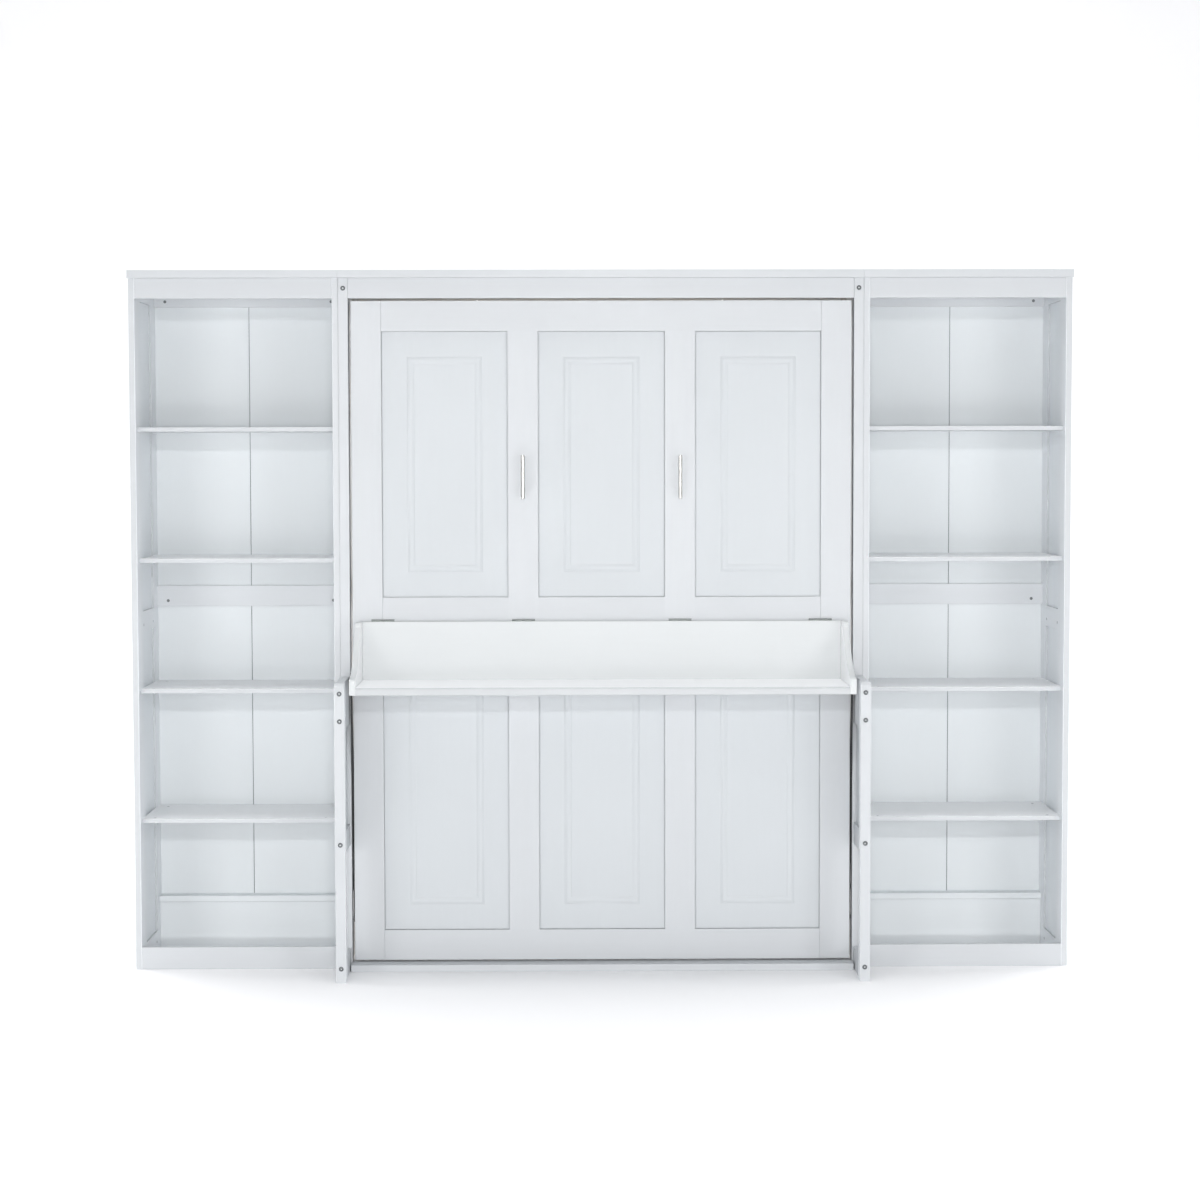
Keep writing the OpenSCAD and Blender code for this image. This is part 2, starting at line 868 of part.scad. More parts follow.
// Outline of a cheek: narrow at the top, it sweeps out and down to the desk's front edge.
module cheek_outline() {
    back = desk_back_y;
    neck = face_y - 60;
    front = face_y - desk_reach;
    sweep_top = desk_z + 171;
    sweep_drop = 145;
    nose = 9;
    top = hinge_z - 4;
    steps = 14;
    sweep = [
        for (i = [0:steps])
            let (t = i / steps)
                [neck - t * (neck - front - nose), sweep_top - sweep_drop * (1 - pow(1 - t, 1.7))]
    ];
    nose_arc = [
        for (a = [90:15:180])
            [front + nose + nose * cos(a), sweep_top - sweep_drop - nose + nose * sin(a)]
    ];
    shoulder = [
        for (a = [90:15:180]) [neck + 10 + 10 * cos(a), top - 10 + 10 * sin(a)]
    ];
    polygon(concat([[back, desk_low_z], [back, top]], shoulder, sweep, nose_arc, [[front, desk_low_z]]));
}

module desk_cheek() {
    color(desk_paint)
        difference() {
            translate([cheek_x0, 0, 0]) rotate([90, 0, 90]) linear_extrude(cheek_t) cheek_outline();
            bar_x(link_top, cheek_x0 + 6, desk_x + 1, 4);
        }
}

module cheek_studs() {
    color(steel)
        both_sides() {
            bar_x(link_top, desk_x, bar_x0 + bar_t + 0.5, stud_r);
            bar_x(link_top, cheek_x0 + 7, desk_x, 3.95);
        }
}

// Links, gas springs and foot legs ---------------------------------------------

// A flat steel link that keeps the desk level while the bed folds down.
module link() {
    w = 24;
    color(paint)
        difference() {
            translate([bar_x0, 0, 0])
                rotate([90, 0, 90])
                    linear_extrude(bar_t)
                        hull() {
                            translate(link_top) circle(w / 2, $fn = 32);
                            translate(link_foot) circle(w / 2, $fn = 32);
                        }
            bar_x(link_foot, bar_x0 - 1, bar_x0 + bar_t + 1, stud_r + run);
            bar_x(link_top, bar_x0 - 1, bar_x0 + bar_t + 1, stud_r + 0.4);
        }
}

// Puts a shape drawn along -Z from the origin onto the line of the gas spring.
module on_spring_line() {
    d = spring_foot - spring_top;
    translate([spring_x, spring_top[0], spring_top[1]])
        rotate([atan2(d[0], -d[1]), 0, 0])
            children();
}

spring_l = norm(spring_foot - spring_top);
open_foot = pivot + [-(spring_foot[1] - pivot[1]), spring_foot[0] - pivot[0]];
stroke = spring_l - norm(open_foot - spring_top);
tube_l = 222;
guide_l = 22;

// The pressure tube, with a top eye, a rod guide at its mouth and room for the piston.
module gas_cylinder() {
    r = spring_d / 2;
    bore = rod_d / 2 + run;
    wall = 1.6;
    color(black_steel)
        on_spring_line()
            difference() {
                union() {
                    rotate([0, 90, 0]) cylinder(h = 8, r = 9, center = true);
                    translate([0, 0, -16]) cylinder(h = 12, r = 5);
                    rotate_extrude()
                        polygon([
                            [0, -14], [r - 2, -14], [r, -16], [r, -tube_l + 2], [r - 2, -tube_l],
                            [bore, -tube_l], [bore, -tube_l + guide_l],
                            [r - wall, -tube_l + guide_l], [r - wall, -20], [0, -20]
                        ]);
                }
                rotate([0, 90, 0]) cylinder(h = 20, r = eye_pin_r + run, center = true);
            }
}

// The rod with its piston inside the tube and its eye at the foot.
module gas_rod() {
    piston_r = spring_d / 2 - 1.6 - 0.1;
    rod_l = spring_l - stroke - 22;
    color(steel)
        on_spring_line()
            translate([0, 0, -spring_l])
                difference() {
                    union() {
                        rotate([0, 90, 0]) cylinder(h = 8, r = 9, center = true);
                        cylinder(h = rod_l, r = rod_d / 2);
                        translate([0, 0, rod_l - 16]) cylinder(h = 14, r = piston_r);
                    }
                    rotate([0, 90, 0]) cylinder(h = 20, r = eye_pin_r + run, center = true);
                }
}

// A flat steel leg that hangs from the side rail and reaches the floor when the bed is down.
module foot_leg() {
    w = 30;
    y = foot_pivot[0];
    z0 = foot_pivot[1] - foot_leg_l;
    color(black_steel)
        difference() {
            union() {
                translate([bar_x0, 0, 0])
                    rotate([90, 0, 90])
                        linear_extrude(bar_t) {
                            translate(foot_pivot) circle(w / 2, $fn = 32);
                            translate([y - w / 2, z0]) square([w, foot_leg_l]);
                        }
            }
            bar_x(foot_pivot, bar_x0 - 1, bar_x0 + bar_t + 1, stud_r + run);
        }
}

mirror([1, 0, 0]) case_post();  // case_post_left
case_post();  // case_post_right
case_rear_posts();
mirror([1, 0, 0]) case_side();  // case_side_left
case_side();  // case_side_right
top_board(-post_x1, post_x1);  // case_top
case_fascia();
case_base_board();
wall_rails();
mirror([1, 0, 0]) leg();  // leg_left
leg();  // leg_right
leg_arms();
leg_rails();
leg_infills();
frame_bolts();
mirror([1, 0, 0]) bookcase_stiles();  // left_bookcase_stiles
bookcase_stiles();  // right_bookcase_stiles
bookcase_side_rails();
bookcase_side_panels();
bookcase_backs();
bookcase_tops();
bookcase_fascias();
mirror([1, 0, 0]) bookcase_shelves();  // left_bookcase_shelves
bookcase_shelves();  // right_bookcase_shelves
bookcase_plinths();
bookcase_back_rails();
bookcase_back_ledges();
bookcase_bolts();
barrel_nuts();
pivot_bushes();
case_studs();
mirror([1, 0, 0]) bed_stile();  // bed_stile_left
bed_stile();  // bed_stile_right
bed_mid_stiles();
bed_cross_rails();
bed_panels();
bed_side_rails();
bed_end_rails();
bed_slats();
slat_supports();
handle_bars();
handle_posts();
pivot_plates();
foot_studs();
hinge_bed_leaves();
hinge_pins();
desk_top();
desk_back();
mirror([1, 0, 0]) desk_cheek();  // desk_cheek_left
desk_cheek();  // desk_cheek_right
hinge_desk_leaves();
cheek_studs();
mirror([1, 0, 0]) link();  // link_left
link();  // link_right
translate([-2 * spring_x, 0, 0]) gas_cylinder();  // gas_cylinder_left
gas_cylinder();  // gas_cylinder_right
translate([-2 * spring_x, 0, 0]) gas_rod();  // gas_rod_left
gas_rod();  // gas_rod_right
mirror([1, 0, 0]) foot_leg();  // foot_leg_left
foot_leg();  // foot_leg_right
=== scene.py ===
import math

import bpy
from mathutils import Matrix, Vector


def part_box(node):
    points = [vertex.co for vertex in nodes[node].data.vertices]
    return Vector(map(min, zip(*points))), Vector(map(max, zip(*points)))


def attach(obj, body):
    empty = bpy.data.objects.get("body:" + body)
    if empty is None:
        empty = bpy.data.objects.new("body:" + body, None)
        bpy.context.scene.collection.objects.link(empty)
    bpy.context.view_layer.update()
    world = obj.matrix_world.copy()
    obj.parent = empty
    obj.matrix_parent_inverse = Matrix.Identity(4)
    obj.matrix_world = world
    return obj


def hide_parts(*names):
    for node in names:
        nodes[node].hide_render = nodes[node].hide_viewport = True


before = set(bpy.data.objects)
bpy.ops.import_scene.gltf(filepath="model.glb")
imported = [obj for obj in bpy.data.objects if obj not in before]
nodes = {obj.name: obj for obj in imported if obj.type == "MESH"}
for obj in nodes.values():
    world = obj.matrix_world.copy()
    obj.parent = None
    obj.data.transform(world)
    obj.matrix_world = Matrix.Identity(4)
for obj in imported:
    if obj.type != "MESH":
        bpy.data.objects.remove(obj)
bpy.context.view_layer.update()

# ---------------------------------------------------------------------------
# The studio. The bed stands on a pale seamless paper sweep. The camera is eight
# metres in front of the bed's face, at a standing person's eye level.
# ---------------------------------------------------------------------------
scene = bpy.context.scene
bed_face = -0.050
camera_distance = 8.0
camera_height = 1.627
camera_aside = -0.0897
camera_turn = (86.8061, 0.1123, -0.6088)
focal_length = 75.574

lens = bpy.data.cameras.new("studio_camera")
lens.lens = focal_length
lens.sensor_width = 36
lens.clip_end = 60
lens.dof.use_dof = False
camera = bpy.data.objects.new("studio_camera", lens)
camera.location = (camera_aside, bed_face - camera_distance, camera_height)
camera.rotation_euler = [math.radians(turn) for turn in camera_turn]
scene.collection.objects.link(camera)
scene.camera = camera
scene.view_settings.view_transform = "Standard"


def linear(hex_colour):
    """Turns an sRGB hex colour into the linear colour that a shader takes."""
    parts = [int(hex_colour[i : i + 2], 16) / 255 for i in (1, 3, 5)]
    return [c / 12.92 if c <= 0.04045 else ((c + 0.055) / 1.055) ** 2.4 for c in parts] + [1.0]


def add(tree, kind, inputs=None, **settings):
    """Adds one node, with its settings, and its sockets' numbers or links."""
    node = tree.nodes.new(kind)
    for name, value in settings.items():
        setattr(node, name, value)
    for name, value in (inputs or {}).items():
        if isinstance(value, bpy.types.NodeSocket):
            tree.links.new(value, node.inputs[name])
        else:
            node.inputs[name].default_value = value
    return node


def start_material(name):
    """Starts a material with an empty node tree."""
    material = bpy.data.materials.new(name)
    material.use_nodes = True
    material.node_tree.nodes.clear()
    return material, material.node_tree


# The sweep: matt white background paper, with the faint tooth of card. It lies on the
# floor and curls up into a wall behind the bed.
paper_width = 40
paper_depth = 26
paper_height = 12
curl_radius = 5
sweep_paper, tree = start_material("matt_background_paper")
place = add(tree, "ShaderNodeTexCoord").outputs["Object"]
tooth = add(tree, "ShaderNodeTexNoise", {"Vector": place, "Scale": 40.0, "Detail": 3.0})
relief = add(tree, "ShaderNodeBump", {"Height": tooth.outputs["Fac"], "Strength": 0.02})
paper = add(
    tree,
    "ShaderNodeBsdfPrincipled",
    {"Base Color": linear("#FAFAFB"), "Roughness": 0.9, "Normal": relief.outputs["Normal"]},
)
add(tree, "ShaderNodeOutputMaterial", {"Surface": paper.outputs["BSDF"]})

bpy.ops.object.select_all(action="DESELECT")
bpy.ops.mesh.primitive_plane_add(size=1, location=(0, 0, 0))
sweep = bpy.context.object
sweep.name = "paper_sweep"
bpy.ops.object.mode_set(mode="EDIT")
bpy.ops.transform.resize(value=(paper_width, paper_depth, 1))
bpy.ops.mesh.select_mode(type="EDGE")
bpy.ops.mesh.select_all(action="DESELECT")
bpy.ops.object.mode_set(mode="OBJECT")
for edge in sweep.data.edges:
    edge.select = all(sweep.data.vertices[v].co.y > 1 for v in edge.vertices)
bpy.ops.object.mode_set(mode="EDIT")
bpy.ops.mesh.extrude_region_move(TRANSFORM_OT_translate={"value": (0, 0, paper_height)})
bpy.ops.mesh.select_all(action="SELECT")
bpy.ops.mesh.normals_make_consistent(inside=False)
bpy.ops.object.mode_set(mode="OBJECT")
curl = sweep.modifiers.new("curl", "BEVEL")
curl.width = curl_radius
curl.segments = 16
curl.limit_method = "ANGLE"
bpy.ops.object.modifier_apply(modifier="curl")
bpy.ops.object.shade_smooth()
sweep.data.materials.append(sweep_paper)

# Room light: white walls on the photographer's side, and a dim studio behind the bed,
# so that the open back of the case stays dark behind the gap round the bed front.
# A white ceiling adds light from above, onto the desk, the arms and the floor.
front_room = 0.21
back_room = 0.053
ceiling = 0.72
world = bpy.data.worlds.new("studio_room")
world.use_nodes = True
scene.world = world
room = world.node_tree
room.nodes.clear()
way = add(room, "ShaderNodeTexCoord").outputs["Generated"]
axes = add(room, "ShaderNodeSeparateXYZ", {"Vector": way})
level = add(
    room,
    "ShaderNodeMapRange",
    {
        "Value": axes.outputs["Y"],
        "From Min": -0.25,
        "From Max": 0.25,
        "To Min": front_room,
        "To Max": back_room,
    },
)
above = add(
    room,
    "ShaderNodeMapRange",
    {
        "Value": axes.outputs["Z"],
        "From Min": 0.3,
        "From Max": 1.0,
        "To Min": 0.0,
        "To Max": ceiling,
    },
)
strength = add(
    room,
    "ShaderNodeMath",
    {0: level.outputs["Result"], 1: above.outputs["Result"]},
    operation="ADD",
)
glow = add(
    room,
    "ShaderNodeBackground",
    {"Color": linear("#FCFDFF"), "Strength": strength.outputs["Value"]},
)
add(room, "ShaderNodeOutputWorld", {"Surface": glow.outputs["Background"]})


def soft_light(name, place, aim, size, power):
    """Adds a soft box, with its place, aim and size in metres and its power in watts."""
    lamp = bpy.data.lights.new(name, "AREA")
    lamp.shape = "RECTANGLE"
    lamp.size, lamp.size_y = size
    lamp.energy = power
    light = bpy.data.objects.new(name, lamp)
    light.location = place
    light.rotation_euler = (Vector(aim) - Vector(place)).to_track_quat("-Z", "Y").to_euler()
    scene.collection.objects.link(light)


def pair_of_lights(name, place, aim, size, power):
    """Adds a soft box on the right of the bed and its mirror image on the left."""
    (x, y, z), (aim_x, aim_y, aim_z) = place, aim
    for side, sign in (("left", -1), ("right", 1)):
        soft_light(f"{side}_{name}", (sign * x, y, z), (sign * aim_x, aim_y, aim_z), size, power)


# The front lights are aimed down, so that the low fronts get as much light as the high
# ones. The keys on both sides give each handle its two faint shadows.
soft_light("front_light", (0, -12.0, 1.4), (0, -11.5, 0.4), (2.0, 0.8), 455)
soft_light("high_front_light", (0, -9.0, 3.2), (0, -8.5, 1.1), (1.2, 0.4), 270)
pair_of_lights("key_light", (4.8, -7.6, 1.5), (4.4, -7.0, 0.4), (2.5, 2.0), 160)
soft_light("ceiling_light", (0, -1.2, 9.0), (0, -1.2, 0), (7.0, 2.0), 150)
# Two lights behind the bed wash the paper to white, clear of the bed itself.
pair_of_lights("paper_light", (4.5, 3.5, 5.5), (2.5, 12, 3.0), (3.0, 1.5), 240)
# Two more wash the paper on the floor beside and behind the bookcases.
pair_of_lights("floor_light", (4.2, 2.2, 4.5), (4.2, 2.6, 0), (4.0, 4.0), 228)

# ---------------------------------------------------------------------------
# The bed case: posts, sides, top board, fascia, base board and wall rails. They
# are planed pine boards, sanded at the edges, and sprayed with white satin lacquer.
# ---------------------------------------------------------------------------


def white_lacquer(name, colour, along, roughness, shade=0.012):
    """Satin lacquer on pine: an even white, with a ghost of the grain under it."""
    material, tree = start_material(name)
    place = add(tree, "ShaderNodeTexCoord").outputs["Object"]
    # Broad tone drift, about 350 mm from patch to patch, as sprayed coats vary.
    drift = add(tree, "ShaderNodeTexNoise", {"Vector": place, "Scale": 2.9, "Detail": 2.0})
    # Grain lines 9 mm apart across the board and 140 mm long, drawn coarse to show.
    stretch = [111.0, 111.0, 111.0]
    stretch[along] = 7.0
    grained = add(tree, "ShaderNodeMapping", {"Vector": place, "Scale": stretch})
    grain = add(
        tree,
        "ShaderNodeTexNoise",
        {"Vector": grained.outputs["Vector"], "Scale": 1.0, "Detail": 3.0, "Roughness": 0.55},
    )
    # Orange peel of the spray gun, 6 mm, coarser than life so that it shows.
    peel = add(tree, "ShaderNodeTexNoise", {"Vector": place, "Scale": 160.0, "Detail": 2.0})
    drift_shade = 2.2 * shade
    dark = [c * (1 - drift_shade) for c in linear(colour)[:3]] + [1.0]
    tone = add(
        tree,
        "ShaderNodeMix",
        {"Factor": drift.outputs["Fac"], "A": linear(colour), "B": dark},
        data_type="RGBA",
    )
    streak = add(
        tree,
        "ShaderNodeMapRange",
        {
            "Value": grain.outputs["Fac"],
            "From Min": 0.3,
            "From Max": 0.7,
            "To Min": 1 - shade,
            "To Max": 1.0,
        },
    )
    coat = add(
        tree,
        "ShaderNodeMix",
        {"Factor": 1.0, "A": tone.outputs["Result"], "B": streak.outputs["Result"]},
        data_type="RGBA",
        blend_type="MULTIPLY",
    )
    gloss = add(
        tree,
        "ShaderNodeMapRange",
        {
            "Value": drift.outputs["Fac"],
            "From Min": 0.3,
            "From Max": 0.7,
            "To Min": roughness - 0.04,
            "To Max": roughness + 0.04,
        },
    )
    height = add(
        tree,
        "ShaderNodeMath",
        {0: grain.outputs["Fac"], 1: peel.outputs["Fac"]},
        operation="ADD",
    )
    relief = add(
        tree,
        "ShaderNodeBump",
        {"Height": height.outputs["Value"], "Strength": 0.05, "Distance": 0.002},
    )
    surface = add(
        tree,
        "ShaderNodeBsdfPrincipled",
        {
            "Base Color": coat.outputs["Result"],
            "Roughness": gloss.outputs["Result"],
            "IOR": 1.5,
            "Normal": relief.outputs["Normal"],
        },
    )
    add(tree, "ShaderNodeOutputMaterial", {"Surface": surface.outputs["BSDF"]})
    return material


upright_paint = white_lacquer("satin_lacquer_upright_boards", "#C9CCCF", 2, 0.42)
crosswise_paint = white_lacquer("satin_lacquer_crosswise_boards", "#C8CBCE", 0, 0.42)
deep_paint = white_lacquer("satin_lacquer_front_to_back_boards", "#C8CBCE", 1, 0.42)


def merged_copy(name, ending):
    """Copies a frame node and joins its loose triangles, so that it can be worked on."""
    piece = nodes[name].copy()
    piece.data = nodes[name].data.copy()
    piece.name = name + ending
    piece.parent = None
    scene.collection.objects.link(piece)
    bpy.ops.object.select_all(action="DESELECT")
    piece.select_set(True)
    bpy.context.view_layer.objects.active = piece
    bpy.ops.object.mode_set(mode="EDIT")
    bpy.ops.mesh.select_all(action="SELECT")
    bpy.ops.mesh.remove_doubles(threshold=0.00002)
    bpy.ops.object.mode_set(mode="OBJECT")
    return piece


def is_square_on(face):
    """Tells whether a face looks straight along one of the three axes."""
    return max(abs(part) for part in face.normal) > 0.9999


def sand_edges(names, body, finish, width=0.0012, smooth=35):
    """Copies machined boards and rounds their long edges, as a sander does."""
    for name in names:
        board = merged_copy(name, "_sanded")
        bpy.ops.object.mode_set(mode="EDIT")
        bpy.ops.mesh.select_all(action="SELECT")
        bpy.ops.mesh.dissolve_limited(angle_limit=math.radians(1))
        bpy.ops.object.mode_set(mode="OBJECT")
        sanding = board.modifiers.new("sanding", "BEVEL")
        sanding.width = width
        sanding.segments = 2
        sanding.limit_method = "ANGLE"
        sanding.angle_limit = math.radians(40)
        bpy.ops.object.modifier_apply(modifier="sanding")
        bpy.ops.object.shade_smooth_by_angle(angle=math.radians(smooth))
        for face in board.data.polygons:
            if is_square_on(face):
                face.use_smooth = False
        board.data.materials.clear()
        board.data.materials.append(finish)
        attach(board, body)
        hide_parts(name)


def coat_faces(name, coat, wanted):
    """Gives the faces of a sanded board that pass a test another coat."""
    board = bpy.data.objects[name + "_sanded"]
    board.data.materials.append(coat)
    for face in board.data.polygons:
        if wanted(face):
            face.material_index = len(board.data.materials) - 1


sand_edges(
    ["case_post_left", "case_post_right", "case_rear_posts", "case_side_left", "case_side_right"],
    "case",
    upright_paint,
)
sand_edges(
    ["case_top", "case_fascia", "case_base_board", "wall_rails"],
    "case",
    crosswise_paint,
)

# ---------------------------------------------------------------------------
# The side frames beside the desk: a leg, a deep arm, two rails and an infill
# panel each, jointed flush and bolted through the leg.
# ---------------------------------------------------------------------------
sand_edges(["leg_left", "leg_right"], "case", upright_paint, 0.0018)
# The lamps reach faces that look sideways less, and a lighter coat makes up for it.
leg_side_paint = white_lacquer("satin_lacquer_leg_sides", "#EEF1F4", 2, 0.42)
for leg in ("leg_left", "leg_right"):
    coat_faces(leg, leg_side_paint, lambda face: abs(face.normal.x) > 0.9)
sand_edges(["leg_arms", "leg_rails"], "case", deep_paint)
panel_paint = white_lacquer("satin_lacquer_flat_panels", "#C7CBCE", 2, 0.46, 0.008)
sand_edges(["leg_infills"], "case", panel_paint, 0.0006)

# ---------------------------------------------------------------------------
# Bolts, nuts and studs: turned mild steel, which fine turning marks have made dull.
# The connector bolts and the barrel nuts have a dark grey plate, painted shade for the shadows in
# their holes and round their heads, and the studs and the flush bolts of the shelves bright zinc.
# ---------------------------------------------------------------------------


def plated_steel(name, colour, roughness, marks):
    """Plated steel: the plate's colour, broken by fine machining marks."""
    material, tree = start_material(name)
    place = add(tree, "ShaderNodeTexCoord").outputs["Object"]
    # Marks stand 1.5 mm apart across the given direction, coarser than life.
    fine = [650.0, 650.0, 650.0]
    fine[marks] = 40.0
    spread = add(tree, "ShaderNodeMapping", {"Vector": place, "Scale": fine})
    turned = add(
        tree,
        "ShaderNodeTexNoise",
        {"Vector": spread.outputs["Vector"], "Scale": 1.0, "Detail": 2.0},
    )
    cloud = add(tree, "ShaderNodeTexNoise", {"Vector": place, "Scale": 35.0, "Detail": 3.0})
    dull = [c * 0.82 for c in linear(colour)[:3]] + [1.0]
    plate = add(
        tree,
        "ShaderNodeMix",
        {"Factor": cloud.outputs["Fac"], "A": linear(colour), "B": dull},
        data_type="RGBA",
    )
    scatter = add(
        tree,
        "ShaderNodeMapRange",
        {"Value": turned.outputs["Fac"], "To Min": roughness - 0.08, "To Max": roughness + 0.1},
    )
    relief = add(
        tree,
        "ShaderNodeBump",
        {"Height": turned.outputs["Fac"], "Strength": 0.12, "Distance": 0.0006},
    )
    surface = add(
        tree,
        "ShaderNodeBsdfPrincipled",
        {
            "Base Color": plate.outputs["Result"],
            "Metallic": 1.0,
            "Roughness": scatter.outputs["Result"],
            "Normal": relief.outputs["Normal"],
        },
    )
    add(tree, "ShaderNodeOutputMaterial", {"Surface": surface.outputs["BSDF"]})
    return material


bright_zinc = plated_steel("bright_zinc_plated_steel", "#B9BDC1", 0.34, 0)
# A dark grey plate: painted shade for the shadows in the nuts' holes and round the bolts' heads.
dark_plate_painted_shade = plated_steel("dark_plate_painted_shade_steel", "#74787A", 0.36, 0)


def dress(names, finish):
    """Gives frame nodes their finish."""
    for name in names:
        for seat in nodes[name].material_slots:
            seat.material = finish


dress(["barrel_nuts"], dark_plate_painted_shade)
dress(["bookcase_bolts", "case_studs", "foot_studs", "cheek_studs"], bright_zinc)

# The connector bolts' heads have the dark plate, painted shade, and the floors of their hexagon
# sockets a bright coat, a painted highlight. The heads stand 3 mm proud of the posts.
socket_depth = 0.004
leg_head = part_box("frame_bolts")[0][1]
post_head = bed_face - 0.003
bolts = merged_copy("frame_bolts", "_painted_shade_and_highlight")
bpy.ops.object.shade_smooth_by_angle(angle=math.radians(25))
socket_painted_highlight = plated_steel("socket_floor_painted_highlight", "#F2F3F4", 0.6, 0)
bolts.data.materials.clear()
bolts.data.materials.append(dark_plate_painted_shade)
bolts.data.materials.append(socket_painted_highlight)
for face in bolts.data.polygons:
    depths = [face.center.y - head for head in (leg_head, post_head)]
    floor = face.normal.y < -0.99 and any(abs(depth - socket_depth) < 0.0005 for depth in depths)
    face.material_index = 1 if floor else 0
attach(bolts, "case")
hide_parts("frame_bolts")

# ---------------------------------------------------------------------------
# The bookcases: framed sides with recessed panels, thin back sheets, plinths,
# fascias, shelves, back rails and the low ledge that clears a skirting board.
# ---------------------------------------------------------------------------
sand_edges(
    ["left_bookcase_stiles", "right_bookcase_stiles"], "case", upright_paint
)
sand_edges(["bookcase_side_rails"], "case", deep_paint)
sand_edges(["bookcase_side_panels"], "case", panel_paint, 0.0005)
# The faces that look into a bookcase have a lighter coat, painted light that makes up for the
# shade inside the bays, like the legs' sides.
shelf_start, shelf_end = (corner[0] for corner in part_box("right_bookcase_shelves"))
bookcase_middle = (shelf_start + shelf_end) / 2


def looks_inside(face):
    """Tells whether a face of a bookcase's side looks towards the bookcase's middle."""
    side = math.copysign(1.0, face.center.x)
    return face.normal.x * side * (bookcase_middle - abs(face.center.x)) > 0.005


side_rail_painted_light = white_lacquer("satin_lacquer_side_rails_painted_light", "#EEF1F4", 1, 0.42)
side_panel_painted_light = white_lacquer("satin_lacquer_side_panels_painted_light", "#EEF2F5", 2, 0.46, 0.008)
side_face_painted_light = white_lacquer("satin_lacquer_side_faces_painted_light", "#EEF1F4", 2, 0.42)
coat_faces("bookcase_side_rails", side_rail_painted_light, looks_inside)
coat_faces("bookcase_side_panels", side_panel_painted_light, looks_inside)
coat_faces("left_bookcase_stiles", side_face_painted_light, looks_inside)
coat_faces("right_bookcase_stiles", side_face_painted_light, looks_inside)
sand_edges(
    ["bookcase_tops", "bookcase_fascias", "bookcase_plinths"],
    "case",
    crosswise_paint,
)
# The back rails under the tops have a lighter coat than the fronts, painted light for the shade
# there.
back_rail_painted_light = white_lacquer("satin_lacquer_back_rails_painted_light", "#D6D9DC", 0, 0.42)
sand_edges(["bookcase_back_rails"], "case", back_rail_painted_light)
sand_edges(
    ["left_bookcase_shelves", "right_bookcase_shelves"],
    "case",
    crosswise_paint,
    0.0015,
)
# The shelves' tops have a lighter coat, painted light, as the boards above shade them.
shelf_top_painted_light = white_lacquer("satin_lacquer_shelf_tops_painted_light", "#FAFBFC", 0, 0.42)
for shelves in ("left_bookcase_shelves", "right_bookcase_shelves"):
    coat_faces(shelves, shelf_top_painted_light, lambda face: face.normal.z > 0.9)
# The low boards at the back belong to the node of the front plinths.
plinth_back = bed_face + 0.1
# The ledges and the low boards are white-faced and have a lighter coat than the fronts, painted
# light for the shade low in the bays.
low_board_painted_light = white_lacquer("white_faced_low_boards_painted_light", "#E8ECEE", 0, 0.5, 0.006)
sand_edges(["bookcase_back_ledges"], "case", low_board_painted_light, 0.0015)
coat_faces("bookcase_plinths", low_board_painted_light, lambda face: face.center.y > plinth_back)
# Two thin sheets close each back, and a strip behind the seam between them is painted grey,
# painted shade for the dark seam. The sheets are white-faced and have a lighter coat than the
# fronts, painted light for the shade in the bays.
strip_thickness = 0.002
strip_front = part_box("bookcase_backs")[1][1] - strip_thickness - 0.0003
sheet_painted_light = white_lacquer("white_faced_back_sheet_painted_light", "#E4E8EA", 2, 0.55, 0.005)
painted_shade_strip = white_lacquer("grey_joining_strip_painted_shade", "#6F7478", 2, 0.7, 0.02)
sand_edges(["bookcase_backs"], "case", sheet_painted_light, 0.0005)
coat_faces(
    "bookcase_backs",
    painted_shade_strip,
    lambda face: face.normal.y < -0.9 and face.center.y > strip_front,
)

# ---------------------------------------------------------------------------
# The bed front: grooved stiles and rails with six flat panels, each with a low
# half-round moulding, all in the same white satin lacquer.
# ---------------------------------------------------------------------------
sand_edges(
    ["bed_stile_left", "bed_stile_right", "bed_mid_stiles"], "bed", upright_paint
)
sand_edges(["bed_cross_rails"], "bed", crosswise_paint)
sand_edges(["bed_panels"], "bed", panel_paint, 0.0004, 12)
# A quirk, 1.6 mm wide and 5 mm deep, is cut round each panel beside its stiles and rails,
# so that the panel can swell: it shows as a fine dark line.
quirk = 0.0016
quirk_depth = 0.005
stile_width = 0.096
bottom_rail_top = 0.124
hinge_rail_bottom, hinge_rail_top = 1.040, 1.190
top_rail_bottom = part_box("bed_stile_left")[1][2] - stile_width
stile_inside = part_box("bed_stile_right")[0][0]
middle_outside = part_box("bed_mid_stiles")[1][0]
middle_inside = middle_outside - stile_width
across = [
    (-stile_inside, -middle_outside),
    (-middle_inside, middle_inside),
    (middle_outside, stile_inside),
]
upwards = [(bottom_rail_top, hinge_rail_bottom), (hinge_rail_top, top_rail_bottom)]
panels = bpy.data.objects["bed_panels_sanded"]
bpy.ops.object.select_all(action="DESELECT")
panels.select_set(True)
bpy.context.view_layer.objects.active = panels
bpy.ops.object.mode_set(mode="EDIT")
for axis, openings in ((0, across), (2, upwards)):
    for low, high in openings:
        for cut in (low, low + quirk, high - quirk, high):
            point, normal = [0.0, 0.0, 0.0], [0.0, 0.0, 0.0]
            point[axis], normal[axis] = cut, 1.0
            bpy.ops.mesh.select_all(action="SELECT")
            bpy.ops.mesh.bisect(plane_co=point, plane_no=normal, threshold=0.00001)
bpy.ops.mesh.select_mode(type="FACE")
bpy.ops.mesh.select_all(action="DESELECT")
bpy.ops.object.mode_set(mode="OBJECT")
wide_area = 0.05
panel_face = min(face.center.y for face in panels.data.polygons if face.area > wide_area)
